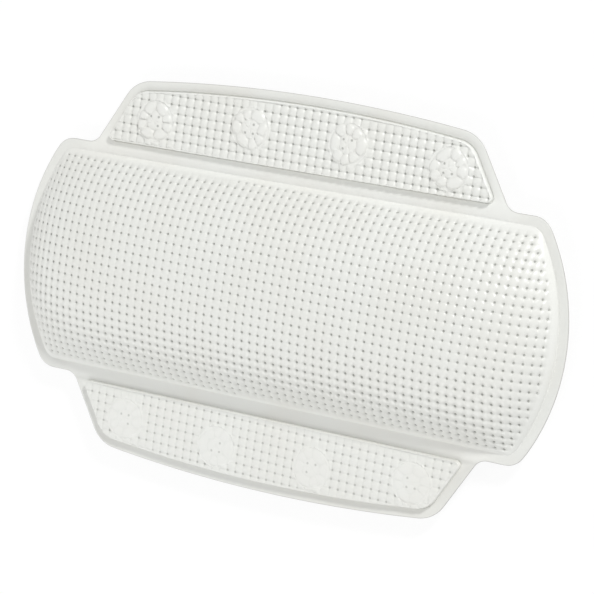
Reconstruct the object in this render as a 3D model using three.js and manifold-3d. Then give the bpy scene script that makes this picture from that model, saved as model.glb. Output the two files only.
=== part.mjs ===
// Bath pillow: a foam-filled vinyl cushion with a padded flap hinged along each long side.
// Eight suction cups are welded into the flaps, under the flower medallions.
// Lengths are millimetres. X runs along the pillow, Y towards the upper flap and Z out of the cushion.
// Z is zero at the flat of the pillow's back, which is level with the lips of the suction cups.
import * as THREE from "three";
import { mergeVertices } from "three/addons/utils/BufferGeometryUtils.js";
import Module from "manifold-3d";

const wasm = await Module();
wasm.setup();

// Driving sizes of the welded outline
const flapRootHalfLength = 124.8;
const earLength = 20.4;
const endBow = 19.8;
const bodyHalfWidth = 64.2;
const bodyCornerRadius = 11.6;
const notchRadius = 8;
const flapTaper = 21.4;
const flapDepth = 36.2;
const flapEdgeBow = 6.3;
const flapCornerRadius = 18.5;
const borderWidth = 5.4;

// Driving sizes of the sheets, the cushion and the pads
const sheet = 0.5;
const clearance = 0.3;
const domeHeight = 23.8;
const coreRim = 0.6;
const coreSeamGap = 2;
const coreClearance = 0.5;
const fieldHeight = 3.2;
const fieldEdgeRound = 1.2;
const fieldRootRadius = 2.5;
const channelHalfWidth = 2.6;

// Driving sizes of the suction cups and the flowers above them
const cupsPerFlap = 4;
const cupEndDistance = 36.6;
const cupEdgeDistance = 19.6;
const cupHeight = 9;
const cupRadius = 12;
const cupLipWidth = 1.2;
const cupBellHeight = 5.4;
const cupHollowDepth = 3.2;
const neckRadius = 3.2;
const shoulderRadius = 5;
const shoulderThickness = 0.9;
const anchorRadius = 8.5;
const anchorThickness = 0.8;
const flowerRadius = 11.6;
const petalCount = 6;
const petalRise = 0.7;
const buttonRadius = 3.4;
const buttonRise = 1.3;

// Shapes of the crowned surfaces: how far along, or how high, as shares
const domeEndPower = 7;
const domeEndRound = 0.62;
const domeSidePower = 2.7;
const domeSideRound = 0.78;
const backFlatShare = 0.62;
const backPower = 1.8;
const backRound = 0.9;
const domeRingShares = [1, 0.96, 0.9, 0.81, 0.68, 0.5, 0.27, 0];
const backRingShares = [1, 0.93, 0.84, 0.74, backFlatShare];
const petalValleyShare = 0.8;
const cupHollowShare = 0.75;

// Facets
const arcSteps = 4;
const bowSteps = 8;
const sideSteps = 8;
const shoulderSteps = 2;
const cupFacets = 20;
const buttonFacets = 12;
const petalFacets = 6;

// Places worked out from the driving sizes
const weldZ = cupHeight + sheet;
const hingeY = bodyHalfWidth;
const bodyHalfLength = flapRootHalfLength + earLength;
const flapEdgeHalfLength = flapRootHalfLength - flapTaper;
const flapEdgeY = bodyHalfWidth + flapDepth;
const overrun = 2 * (domeHeight + cupHeight);
const farEnough = 2 * (bodyHalfLength + flapEdgeY);
const endArcRadius = (bodyHalfWidth ** 2 + endBow ** 2) / (2 * endBow);
const endArcCentre = bodyHalfLength + endBow - endArcRadius;
const edgeArcRadius = (flapEdgeHalfLength ** 2 + flapEdgeBow ** 2) / (2 * flapEdgeBow);
const edgeArcCentre = flapEdgeY + flapEdgeBow - edgeArcRadius;
const sideLength = Math.hypot(flapTaper, flapDepth);
const fieldRootY = hingeY + channelHalfWidth;
const cupPitch = (2 * (flapRootHalfLength - cupEndDistance)) / (cupsPerFlap - 1);

// Materials
const vinyl = (color, roughness) => () => new THREE.MeshStandardMaterial({ color, roughness, metalness: 0 });
const embossedVinyl = vinyl(0xe6e7e1, 0.55);
const smoothVinyl = vinyl(0xe0e1dc, 0.45);
const cupVinyl = vinyl(0xdfe4e3, 0.2);
const foam = vinyl(0xe9e4cf, 0.95);

// Solids and booleans
function solidOf(geometry) {
  const bare = geometry.clone();
  bare.deleteAttribute("normal");
  bare.deleteAttribute("uv");
  const merged = mergeVertices(bare);
  const mesh = new wasm.Mesh({
    numProp: 3,
    vertProperties: new Float32Array(merged.attributes.position.array),
    triVerts: new Uint32Array(merged.index.array),
  });
  return new wasm.Manifold(mesh);
}

function geometryOf(solid) {
  const mesh = solid.getMesh();
  const geometry = new THREE.BufferGeometry();
  geometry.setAttribute("position", new THREE.BufferAttribute(mesh.vertProperties, 3));
  geometry.setIndex(new THREE.BufferAttribute(mesh.triVerts, 1));
  return geometry;
}

// A closed body through rings of points that correspond, capped by flat faces or by faces of its own
function skinned(rings, lowCap, highCap) {
  const count = rings[0].length;
  const positions = rings.flat().flatMap((p) => [p.x, p.y, p.z]);
  const index = [];
  for (let r = 0; r + 1 < rings.length; r += 1) {
    for (let i = 0; i < count; i += 1) {
      const a = r * count + i;
      const b = r * count + ((i + 1) % count);
      index.push(a, b, b + count, a, b + count, a + count);
    }
  }
  const last = (rings.length - 1) * count;
  if (lowCap) for (const [a, b, c] of flatFaces(rings[0])) index.push(a, c, b);
  if (highCap) for (const [a, b, c] of flatFaces(rings.at(-1))) index.push(a + last, b + last, c + last);
  const geometry = new THREE.BufferGeometry();
  geometry.setAttribute("position", new THREE.BufferAttribute(new Float32Array(positions), 3));
  geometry.setIndex(index);
  return geometry;
}

function flatFaces(ring) {
  return THREE.ShapeUtils.triangulateShape(ring.map((p) => new THREE.Vector2(p.x, p.y)), []);
}

const atHeight = (outline, z) => outline.map((p) => new THREE.Vector3(p.x, p.y, z));

// A body with flat ends through outlines at rising heights
function loft(sections) {
  return solidOf(skinned(sections.map(([outline, z]) => atHeight(outline, z)), true, true));
}

function boxBetween(low, high) {
  const geometry = new THREE.BoxGeometry(high[0] - low[0], high[1] - low[1], high[2] - low[2]);
  geometry.translate((low[0] + high[0]) / 2, (low[1] + high[1]) / 2, (low[2] + high[2]) / 2);
  return solidOf(geometry);
}

function drum(radius, x, y, low, high, facets) {
  const geometry = new THREE.CylinderGeometry(radius, radius, high - low, facets);
  geometry.rotateX(Math.PI / 2);
  geometry.translate(x, y, (low + high) / 2);
  return solidOf(geometry);
}

// Outlines: a polygon whose corners are rounded, taken anticlockwise
function rounded(corners) {
  const outline = [];
  corners.forEach(({ x, y, radius }, i) => {
    const corner = new THREE.Vector2(x, y);
    if (!radius) {
      outline.push(corner);
      return;
    }
    const before = corners.at(i - 1);
    const after = corners[(i + 1) % corners.length];
    const back = new THREE.Vector2(before.x, before.y).sub(corner).normalize();
    const on = new THREE.Vector2(after.x, after.y).sub(corner).normalize();
    const half = Math.acos(back.dot(on)) / 2;
    const centre = back.clone().add(on).normalize().multiplyScalar(radius / Math.sin(half)).add(corner);
    const start = back.clone().multiplyScalar(radius / Math.tan(half)).add(corner).sub(centre);
    const end = on.clone().multiplyScalar(radius / Math.tan(half)).add(corner).sub(centre);
    const turn = Math.atan2(start.cross(end), start.dot(end));
    for (let k = 0; k <= arcSteps; k += 1) {
      const point = start.clone().rotateAround(new THREE.Vector2(), (turn * k) / arcSteps);
      outline.push(point.add(centre));
    }
  });
  return outline;
}

// Points between the ends of a bowed edge, on a circle about (centreX, centreY)
function bowed(from, to, centreX, centreY, radius) {
  const first = Math.atan2(from.y - centreY, from.x - centreX);
  const last = Math.atan2(to.y - centreY, to.x - centreX);
  const points = [];
  for (let k = 1; k < bowSteps; k += 1) {
    const angle = first + ((last - first) * k) / bowSteps;
    points.push({ x: centreX + radius * Math.cos(angle), y: centreY + radius * Math.sin(angle) });
  }
  return points;
}

const turned = (points) => points.map((p) => ({ ...p, x: -p.x, y: -p.y }));

// The whole welded outline, ears, notches and flaps together
function sheetOutline() {
  const cornerLow = { x: bodyHalfLength, y: -bodyHalfWidth, radius: bodyCornerRadius };
  const cornerHigh = { ...cornerLow, y: bodyHalfWidth };
  const edgeRight = { x: flapEdgeHalfLength, y: flapEdgeY, radius: flapCornerRadius };
  const edgeLeft = { ...edgeRight, x: -flapEdgeHalfLength };
  const rightHalf = [
    { x: flapRootHalfLength, y: -bodyHalfWidth, radius: notchRadius },
    cornerLow,
    ...bowed(cornerLow, cornerHigh, endArcCentre, 0, endArcRadius),
    cornerHigh,
    { x: flapRootHalfLength, y: bodyHalfWidth, radius: notchRadius },
    edgeRight,
    ...bowed(edgeRight, edgeLeft, 0, edgeArcCentre, edgeArcRadius),
    edgeLeft,
  ];
  return rounded([...rightHalf, ...turned(rightHalf)]);
}

// The cushion's base: straight sides and bowed ends, set in from the welded outline
function cushionOutline(inset) {
  const halfWidth = bodyHalfWidth - inset;
  const radius = endArcRadius - inset;
  const cornerX = endArcCentre + Math.sqrt(radius ** 2 - halfWidth ** 2);
  const low = { x: cornerX, y: -halfWidth, radius: bodyCornerRadius - inset / 2 };
  const high = { ...low, y: halfWidth };
  const spine = spineHalfLength(inset);
  const reach = cornerX - low.radius;
  const side = [];
  for (let k = 0; k < shoulderSteps; k += 1) side.push(reach + ((spine - reach) * (k + 1)) / shoulderSteps);
  for (let k = 1; k < sideSteps; k += 1) side.push(spine - (2 * spine * k) / sideSteps);
  for (let k = 0; k < shoulderSteps; k += 1) side.push(-spine - ((reach - spine) * k) / shoulderSteps);
  const rightHalf = [
    low,
    ...bowed(low, high, endArcCentre, 0, radius),
    high,
    ...side.map((x) => ({ x, y: halfWidth })),
  ];
  return rounded([...rightHalf, ...turned(rightHalf)]);
}

// Half the length of the line in the middle that the rings of the cushion shrink to
function spineHalfLength(inset) {
  return endArcCentre + endArcRadius - bodyHalfWidth - inset / 2;
}

// A flap's outline, or its raised field's where a root line and a corner radius are given
function flapOutline(inset, rootY, rootRadius) {
  const slope = (inset * sideLength) / flapDepth;
  const sideX = (y) => flapRootHalfLength - (flapTaper * (y - hingeY)) / flapDepth - slope;
  const radius = edgeArcRadius - inset;
  const edgeY = flapEdgeY - inset;
  const right = { x: sideX(edgeY), y: edgeArcCentre + Math.sqrt(radius ** 2 - sideX(edgeY) ** 2) };
  const edgeRight = { ...right, radius: flapCornerRadius - inset };
  const edgeLeft = { ...edgeRight, x: -right.x };
  return rounded([
    { x: -sideX(rootY), y: rootY, radius: rootRadius },
    { x: sideX(rootY), y: rootY, radius: rootRadius },
    edgeRight,
    ...bowed(edgeRight, edgeLeft, 0, edgeArcCentre, radius),
    edgeLeft,
  ]);
}

// Height of the crowned face above its base at a point of the cushion
function domeRise(x, y, inset) {
  const endX = endArcCentre + Math.sqrt((endArcRadius - inset) ** 2 - y ** 2);
  const along = Math.min(Math.abs(x) / endX, 1);
  const across = Math.min(Math.abs(y) / (bodyHalfWidth - inset), 1);
  const ends = (1 - along ** domeEndPower) ** domeEndRound;
  return domeHeight * ends * (1 - across ** domeSidePower) ** domeSideRound;
}

// Depth of the back below its base, flat as far as the flat share of the way out
function backDrop(share) {
  const outward = Math.max(share - backFlatShare, 0) / (1 - backFlatShare);
  return cupHeight * (1 - outward ** backPower) ** backRound;
}

// Rings of the cushion's base, shrinking towards the spine
function cushionRing(inset, share, heightAt) {
  const spine = spineHalfLength(inset);
  return cushionOutline(inset).map((p) => {
    const middle = THREE.MathUtils.clamp(p.x, -spine, spine);
    const x = middle + share * (p.x - middle);
    const y = share * p.y;
    return new THREE.Vector3(x, y, heightAt(x, y, share));
  });
}

const domeRings = (inset, shares, base, full) =>
  shares.map((share) => {
    const rise = (x, y) => (share === 1 ? 0 : full * domeRise(x, y, inset));
    return cushionRing(inset, share, (x, y) => base + rise(x, y));
  });

const backRings = (inset, shares, base, full) =>
  shares.map((share) => cushionRing(inset, share, () => base - full * backDrop(share)));

// The crowned body under one side of the front sheet, on a flat base
function domeBody(inset, base, foot) {
  const lowest = cushionRing(inset, 1, () => foot);
  return solidOf(skinned([lowest, ...domeRings(inset, domeRingShares, base, 1)], true, false));
}

function backBody(inset, base, foot) {
  const rings = [cushionRing(inset, 1, () => foot), ...backRings(inset, backRingShares, base, 1)];
  return solidOf(skinned(rings.reverse(), true, true));
}

// Sheets: the welded outline, cut along the hinges
const halfSlot = clearance / 2;
const noseStart = hingeY - sheet;

function wholeSheet(low, high) {
  return loft([[sheetOutline(), low], [sheetOutline(), high]]);
}

function bodySheet(low, high) {
  const half = flapRootHalfLength + halfSlot;
  const rootY = noseStart - clearance;
  const upperCut = boxBetween([-half, rootY, -overrun], [half, farEnough, overrun]);
  const lowerCut = boxBetween([-half, -farEnough, -overrun], [half, -rootY, overrun]);
  return wholeSheet(low, high).subtract(upperCut).subtract(lowerCut);
}

// A flap's sheet ends at the hinge in a quarter round about the hinge's axis
function flapSheet(above) {
  const profile = new THREE.Shape();
  const outward = above ? sheet : -sheet;
  profile.moveTo(farEnough, 0);
  profile.lineTo(farEnough, outward);
  profile.lineTo(hingeY, outward);
  for (let k = 1; k <= arcSteps; k += 1) {
    const angle = (Math.PI / 2) * (1 + k / arcSteps);
    profile.lineTo(hingeY + sheet * Math.cos(angle), outward * Math.sin(angle));
  }
  const half = flapRootHalfLength - halfSlot;
  const bar = new THREE.ExtrudeGeometry(profile, { depth: 2 * half, bevelEnabled: false });
  bar.rotateX(Math.PI / 2);
  bar.rotateZ(Math.PI / 2);
  bar.translate(-half, 0, weldZ);
  return solidOf(bar).intersect(wholeSheet(weldZ - overrun, weldZ + overrun));
}

// Pieces of the pillow
function pillowFrontSkin() {
  const outer = domeBody(borderWidth, weldZ + sheet, weldZ);
  const hollow = domeBody(borderWidth + sheet, weldZ, weldZ - overrun);
  return bodySheet(weldZ, weldZ + sheet).add(outer).subtract(hollow);
}

function pillowBackSkin() {
  const outer = backBody(borderWidth, weldZ - sheet, weldZ);
  const hollow = backBody(borderWidth + sheet, weldZ, weldZ + overrun);
  return bodySheet(weldZ - sheet, weldZ).add(outer).subtract(hollow);
}

// The core's crowned faces meet in a thin rim, short of the seam
function pillowFoamCore() {
  const inset = borderWidth + sheet + coreSeamGap;
  const spare = coreClearance + coreRim / 2;
  const low = backRings(inset, backRingShares, weldZ - coreRim / 2, 1 - spare / cupHeight).reverse();
  const high = domeRings(inset, domeRingShares, weldZ + coreRim / 2, 1 - spare / domeHeight);
  return solidOf(skinned([...low, ...high], true, false));
}

// Pieces of the flaps, drawn for the upper flap
const cupPlaces = Array.from({ length: cupsPerFlap }, (_, i) => {
  const x = (i - (cupsPerFlap - 1) / 2) * cupPitch;
  return { x, y: edgeArcCentre + Math.sqrt(edgeArcRadius ** 2 - x ** 2) - cupEdgeDistance };
});

function field(inset, low, high, round) {
  const outline = (more) => flapOutline(borderWidth + inset + more, fieldRootY + inset + more, fieldRootRadius);
  const sections = [[outline(0), low], [outline(0), high - round]];
  const steps = arcSteps / 2;
  for (let k = 1; k <= steps; k += 1) {
    const angle = (Math.PI / 2) * (k / steps);
    sections.push([outline(round * (1 - Math.cos(angle))), high - round * (1 - Math.sin(angle))]);
  }
  return loft(sections);
}

function flowerOutline({ x, y }) {
  const points = petalCount * petalFacets;
  return Array.from({ length: points }, (_, k) => {
    const angle = (2 * Math.PI * k) / points;
    const lobe = Math.abs(Math.cos((petalCount * angle) / 2));
    const radius = flowerRadius * (petalValleyShare + (1 - petalValleyShare) * Math.sqrt(lobe));
    return new THREE.Vector2(x + radius * Math.cos(angle), y + radius * Math.sin(angle));
  });
}

function flower(place) {
  const base = weldZ + fieldHeight + sheet;
  const inside = base - sheet / 2;
  const petals = loft([[flowerOutline(place), inside], [flowerOutline(place), base + petalRise]]);
  return petals.add(drum(buttonRadius, place.x, place.y, inside, base + buttonRise, buttonFacets));
}

function flapFrontSkin() {
  const top = weldZ + fieldHeight;
  let skin = flapSheet(true).add(field(0, weldZ, top + sheet, fieldEdgeRound));
  for (const place of cupPlaces) skin = skin.add(flower(place));
  return skin.subtract(field(sheet, weldZ - overrun, top, fieldEdgeRound - sheet));
}

function flapBackSkin() {
  let skin = flapSheet(false);
  for (const { x, y } of cupPlaces) {
    skin = skin.subtract(drum(neckRadius + clearance, x, y, weldZ - overrun, weldZ + overrun, cupFacets));
  }
  return skin;
}

function flapFoamPad() {
  let pad = field(sheet + clearance, weldZ, weldZ + fieldHeight - clearance, fieldEdgeRound - sheet);
  for (const { x, y } of cupPlaces) {
    const top = weldZ + anchorThickness + clearance;
    pad = pad.subtract(drum(anchorRadius + clearance, x, y, weldZ - overrun, top, cupFacets));
  }
  return pad;
}

// A suction cup: lip, shallow bell, neck with a shoulder under the sheet and an anchor disc over it
function suctionCup() {
  const underSheet = weldZ - sheet;
  const profile = [
    [0, cupHollowDepth],
    [(cupRadius - cupLipWidth) / 2, cupHollowDepth * cupHollowShare],
    [cupRadius - cupLipWidth, 0],
    [cupRadius, 0],
    [cupRadius - cupLipWidth / 2, cupLipWidth],
    [(cupRadius + neckRadius) / 2, cupBellHeight - cupLipWidth],
    [neckRadius, cupBellHeight],
    [neckRadius, underSheet - shoulderThickness],
    [shoulderRadius, underSheet - shoulderThickness],
    [shoulderRadius, underSheet],
    [neckRadius, underSheet],
    [neckRadius, weldZ],
    [anchorRadius, weldZ],
    [anchorRadius, weldZ + anchorThickness],
    [0, weldZ + anchorThickness],
  ];
  const geometry = new THREE.LatheGeometry(profile.map(([r, z]) => new THREE.Vector2(r, z)), cupFacets);
  geometry.rotateX(Math.PI / 2);
  return solidOf(geometry);
}

// Assembly
const pillow = new THREE.Group();

function piece(name, solid, material) {
  const mesh = new THREE.Mesh(geometryOf(solid), material());
  mesh.name = name;
  return mesh;
}

pillow.add(piece("pillow_front_skin", pillowFrontSkin(), embossedVinyl));
pillow.add(piece("pillow_back_skin", pillowBackSkin(), smoothVinyl));
pillow.add(piece("pillow_foam_core", pillowFoamCore(), foam));

for (const side of ["upper", "lower"]) {
  const flap = new THREE.Group();
  flap.rotation.z = side === "upper" ? 0 : Math.PI;
  flap.add(piece(`${side}_flap_front_skin`, flapFrontSkin(), embossedVinyl));
  flap.add(piece(`${side}_flap_back_skin`, flapBackSkin(), smoothVinyl));
  flap.add(piece(`${side}_flap_foam_pad`, flapFoamPad(), foam));
  cupPlaces.forEach(({ x, y }, i) => {
    const cup = piece(`${side}_suction_cup_${i + 1}`, suctionCup(), cupVinyl);
    cup.position.set(x, y, 0);
    flap.add(cup);
  });
  pillow.add(flap);
}

export default pillow;
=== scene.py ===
# %% [markdown]
# # A bath pillow, dressed around its CAD frame
# The real pillow is foam between two sheets of white vinyl, welded together round the edge. The
# front sheet is embossed with a basket weave of small raised cells and pinholes. A padded flap is
# hinged along each long side, where the sheets are welded flat, and four suction cups sit in each
# flap under a flower medallion. This lesson keeps the CAD bodies and sizes, and replaces the plain
# skins by sheets whose weave, welds and medallions are real geometry.

# %% The frame comes first
import math

import bmesh
import bpy
import numpy as np
from mathutils import Matrix, Vector
from mathutils.kdtree import KDTree


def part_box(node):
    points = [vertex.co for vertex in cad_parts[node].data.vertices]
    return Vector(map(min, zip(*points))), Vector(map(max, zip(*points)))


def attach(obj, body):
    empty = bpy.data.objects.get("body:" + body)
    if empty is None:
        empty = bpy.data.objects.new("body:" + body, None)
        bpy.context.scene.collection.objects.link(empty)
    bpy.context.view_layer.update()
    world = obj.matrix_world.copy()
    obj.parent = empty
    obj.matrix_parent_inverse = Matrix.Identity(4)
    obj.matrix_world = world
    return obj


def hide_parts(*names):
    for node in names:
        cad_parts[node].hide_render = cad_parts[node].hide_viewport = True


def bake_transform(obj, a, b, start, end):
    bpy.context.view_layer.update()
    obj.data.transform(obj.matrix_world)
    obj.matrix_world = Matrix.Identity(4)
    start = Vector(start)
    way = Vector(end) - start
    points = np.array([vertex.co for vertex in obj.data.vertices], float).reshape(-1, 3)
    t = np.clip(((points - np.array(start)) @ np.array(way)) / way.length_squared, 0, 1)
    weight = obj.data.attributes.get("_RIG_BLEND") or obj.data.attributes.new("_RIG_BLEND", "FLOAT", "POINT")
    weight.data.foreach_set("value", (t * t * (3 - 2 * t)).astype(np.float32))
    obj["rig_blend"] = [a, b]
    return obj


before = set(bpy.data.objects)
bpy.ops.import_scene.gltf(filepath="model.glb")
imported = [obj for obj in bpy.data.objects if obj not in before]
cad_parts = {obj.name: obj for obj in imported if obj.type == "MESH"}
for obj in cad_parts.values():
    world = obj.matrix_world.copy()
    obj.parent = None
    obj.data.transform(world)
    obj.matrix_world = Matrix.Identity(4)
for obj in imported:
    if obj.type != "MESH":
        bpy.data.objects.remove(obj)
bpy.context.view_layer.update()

# %% [markdown]
# The sizes come next. All shapes are worked out in millimetres and scaled to metres at the end,
# which keeps the numbers readable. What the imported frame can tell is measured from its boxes, and
# the rest repeats the driving sizes of the part.

# %% Sizes of the welded outline and of the sheets
MM = 0.001
skin_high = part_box("pillow_front_skin")[1] / MM
flap_low, flap_high = (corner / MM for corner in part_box("upper_flap_front_skin"))

hinge_y = 64.2
root_half = 124.8
ear_half = 145.2
end_bow = skin_high.x - ear_half
body_corner = 11.6
notch_radius = 8.0
edge_half = 103.4
edge_y = 100.4
edge_bow = flap_high.y - edge_y
edge_corner = 18.5
root_corner = 2.5
channel_half = 2.6
border = 5.4
sheet = 0.5
weld_z = flap_low.z
front_z = weld_z + sheet
back_z = weld_z - sheet
dome_height = skin_high.z - front_z
field_height = 3.2
field_round = 0.8
field_root_y = hinge_y + channel_half
end_radius = (hinge_y ** 2 + end_bow ** 2) / (2 * end_bow)
end_centre = skin_high.x - end_radius
edge_radius = (edge_half ** 2 + edge_bow ** 2) / (2 * edge_bow)
edge_centre = flap_high.y - edge_radius
cups_per_flap = 4
cup_places = []
for number in range(1, cups_per_flap + 1):
    low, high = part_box(f"upper_suction_cup_{number}")
    cup_places.append(((low + high) / 2 / MM).to_2d())
print("dome", round(dome_height, 2), "mm high, cups at", [tuple(round(c, 1) for c in p) for p in cup_places])

# %% [markdown]
# Every outline of the pillow is a few corners joined by straight or bowed edges, with the corners
# rounded. One function rounds the corners, and the outlines are written with it, so that the same
# words describe the sheet, the foot of the cushion and the raised field of a flap.

# %% Outlines with rounded corners
ARC_STEPS = 10
BOW_STEPS = 28
BOW_CLEAR = 2


def rounded(corners):
    """A closed anticlockwise outline, from corners given as (x, y, radius)."""
    outline = []
    for i, (x, y, radius) in enumerate(corners):
        corner = Vector((x, y))
        if not radius:
            outline.append(corner)
            continue
        back = (Vector(corners[i - 1][:2]) - corner).normalized()
        on = (Vector(corners[(i + 1) % len(corners)][:2]) - corner).normalized()
        half = back.angle(on) / 2
        centre = corner + (back + on).normalized() * radius / math.sin(half)
        start = corner + back * radius / math.tan(half) - centre
        end = corner + on * radius / math.tan(half) - centre
        turn = math.atan2(start.x * end.y - start.y * end.x, start.dot(end))
        for k in range(ARC_STEPS + 1):
            outline.append(centre + Matrix.Rotation(turn * k / ARC_STEPS, 2) @ start)
    return outline


def bowed(start, end, centre, radius):
    """The points between two ends of an edge that lies on a circle, clear of the rounded corners."""
    first = math.atan2(start[1] - centre[1], start[0] - centre[0])
    last = math.atan2(end[1] - centre[1], end[0] - centre[0])
    angles = [first + (last - first) * k / BOW_STEPS for k in range(BOW_CLEAR, BOW_STEPS - BOW_CLEAR + 1)]
    return [(centre[0] + radius * math.cos(a), centre[1] + radius * math.sin(a), 0) for a in angles]


def turned(corners):
    """The same corners, turned half a turn about the pillow's middle."""
    return [(-x, -y, radius) for x, y, radius in corners]


def sheet_outline():
    low, high = (ear_half, -hinge_y, body_corner), (ear_half, hinge_y, body_corner)
    right, left = (edge_half, edge_y, edge_corner), (-edge_half, edge_y, edge_corner)
    half = [(root_half, -hinge_y, notch_radius), low]
    half += [*bowed(low, high, (end_centre, 0), end_radius), high]
    half += [(root_half, hinge_y, notch_radius), right]
    half += [*bowed(right, left, (0, edge_centre), edge_radius), left]
    return rounded(half + turned(half))


def cushion_outline(inset):
    half_width, radius = hinge_y - inset, end_radius - inset
    corner_x = end_centre + math.sqrt(radius ** 2 - half_width ** 2)
    low = (corner_x, -half_width, body_corner - inset / 2)
    high = (corner_x, half_width, body_corner - inset / 2)
    half = [low, *bowed(low, high, (end_centre, 0), radius), high]
    return rounded(half + turned(half))


def field_outline(inset):
    depth, taper = edge_y - hinge_y, root_half - edge_half
    slope = inset * math.hypot(depth, taper) / depth
    radius = edge_radius - inset

    def side_x(y):
        return root_half - taper * (y - hinge_y) / depth - slope

    root_y = field_root_y + inset - border
    right_x = side_x(edge_y - inset)
    right = (right_x, edge_centre + math.sqrt(radius ** 2 - right_x ** 2), edge_corner - inset)
    left = (-right[0], *right[1:])
    ends = [(way * side_x(root_y), root_y, root_corner) for way in (-1, 1)]
    return rounded([*ends, right, *bowed(right, left, (0, edge_centre), radius), left])


print("outline points:", len(sheet_outline()), len(cushion_outline(border)), len(field_outline(border)))

# %% [markdown]
# A rim is an outline that can be asked how deep inside it a point lies, and which way is inwards.
# The weave is cut along rims, the rounded edges follow them, and the pinholes stop short of them.
# Points close together along the outline go into a search tree, which finds the nearest quickly.

# %% A rim that measures depth
RIM_STEP = 0.2


class Rim:
    """A closed outline, anticlockwise, sampled finely enough to measure from."""

    def __init__(self, outline):
        points = np.array([tuple(p) for p in outline])
        ahead = np.roll(points, -1, 0)
        lengths = np.hypot(*(ahead - points).T)
        along = np.concatenate([[0], np.cumsum(lengths)])
        closed = np.vstack([points, points[:1]])
        at = np.arange(0, along[-1], RIM_STEP)
        self.points = np.stack([np.interp(at, along, closed[:, k]) for k in (0, 1)], 1)
        tangent = np.roll(self.points, -1, 0) - np.roll(self.points, 1, 0)
        self.tangent = tangent / np.hypot(*tangent.T)[:, None]
        self.tree = KDTree(len(self.points))
        for i, (x, y) in enumerate(self.points):
            self.tree.insert((x, y, 0), i)
        self.tree.balance()

    def nearest(self, x, y):
        """(depth inside, foot on the outline, inward direction) at a point."""
        i = self.tree.find((x, y, 0))[1]
        (px, py), (tx, ty) = self.points[i], self.tangent[i]
        ahead = (x - px) * tx + (y - py) * ty
        depth = (y - py) * tx - (x - px) * ty
        return depth, (px + ahead * tx, py + ahead * ty), (-ty, tx)


cushion_rim = Rim(cushion_outline(border))
field_rim = Rim(field_outline(border))
print("rim samples:", len(cushion_rim.points), len(field_rim.points))

# %% [markdown]
# The crown of the cushion is a formula fitted to the photographed dome: almost flat along its
# length, blunt at the ends and round across. Near the foot it is held under a steep edge curve, so
# that it also closes at the rounded corners of the outline.

# %% The crown of the cushion
END_POWER, END_ROUND = 7, 0.62
SIDE_POWER, SIDE_ROUND = 2.7, 0.78
EDGE_RISE, EDGE_POWER, EDGE_BLEND = 5.5, 0.75, 4
LEAST_HEIGHT = 1e-4


def end_x(y):
    """Where the foot of the cushion ends, along the pillow."""
    return end_centre + np.sqrt((end_radius - border) ** 2 - y ** 2)


def crown(x, y):
    """Height above the foot, ignoring the rounded corners."""
    along = np.clip(np.abs(x) / end_x(y), 0, 1)
    across = np.clip(np.abs(y) / (hinge_y - border), 0, 1)
    return dome_height * (1 - along ** END_POWER) ** END_ROUND * (1 - across ** SIDE_POWER) ** SIDE_ROUND


def crowned(x, y, depth):
    """Height above the foot at a depth inside it."""
    rise = np.maximum(crown(x, y), LEAST_HEIGHT)
    edge = EDGE_RISE * np.maximum(depth, LEAST_HEIGHT) ** EDGE_POWER
    return (rise ** -EDGE_BLEND + edge ** -EDGE_BLEND) ** (-1 / EDGE_BLEND)


print("crown in the middle", round(float(crown(np.array(0.0), np.array(0.0))), 2), "mm")

# %% [markdown]
# The weave was pressed into the flat sheet before the pillow was made, so its rows keep their
# spacing along the curved surface and not along the floor. Tables of arc length, one across the
# cushion and a set along it, turn a place on the flat sheet into a place on the crown. The rows are
# also a degree or so off the pillow's axis, as they are on the real one.

# %% From the flat sheet to the crowned cushion
TABLE_ROWS, TABLE_STEPS, BEYOND = 81, 241, 40.0


def arc_table(along, height):
    """Arc length against the coordinate along a curve, measured from its middle."""
    arc = np.concatenate([[0], np.cumsum(np.hypot(np.diff(along), np.diff(height)))])
    return arc - np.interp(0, along, arc)


row_y = (hinge_y - border) * np.linspace(-1, 1, TABLE_STEPS)
row_arc = arc_table(row_y, crown(0 * row_y, row_y))


def carried_on(table):
    """A table with one more step at each end, which reaches past the rim."""
    return np.concatenate([[table[0] - BEYOND], table, [table[-1] + BEYOND]])


def unrolled(u, v):
    """The place (x, y) on the cushion of a point (u, v) of the flat sheet."""
    y = np.interp(v, carried_on(row_arc), carried_on(row_y))
    table_y = np.linspace(row_y[0], row_y[-1], TABLE_ROWS)
    place = np.clip((y - table_y[0]) / (table_y[1] - table_y[0]), 0, TABLE_ROWS - 1)
    row = np.minimum(place.astype(int), TABLE_ROWS - 2)
    share = place - row
    columns = np.empty((TABLE_ROWS, len(u)))
    for k, ty in enumerate(table_y):
        xs = end_x(ty) * np.linspace(-1, 1, TABLE_STEPS)
        columns[k] = np.interp(u, carried_on(arc_table(xs, crown(xs, ty))), carried_on(xs))
    index = np.arange(len(u))
    return columns[row, index] * (1 - share) + columns[row + 1, index] * share, y


print("half arcs:", round(float(row_arc[-1]), 1), "mm across")

# %% [markdown]
# Each cell of the basket weave is a small rounded cushion, long one way on the even cells and long
# the other way on the odd ones, with a pinhole at every corner. A cell needs vertices where its
# shape changes: in the groove, at the pinhole's rim and on the crown. So the grid's lines are
# spaced unevenly inside each cell. The rows of each sheet have an origin and a slant of their own.

# %% The basket weave
PITCH = 4.79
LONG_SIDE, SHORT_SIDE = 0.4, 0.9
COLUMN_STOPS = (0, 0.1, 0.21, 0.38, 0.62, 0.79, 0.9)
ROW_STOPS = (0, 0.11, 0.24, 0.5, 0.76, 0.89)
HOLE_REACH = 0.36


def smooth_step(low, high, value):
    share = np.clip((value - low) / (high - low), 0, 1)
    return share * share * (3 - 2 * share)


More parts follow.
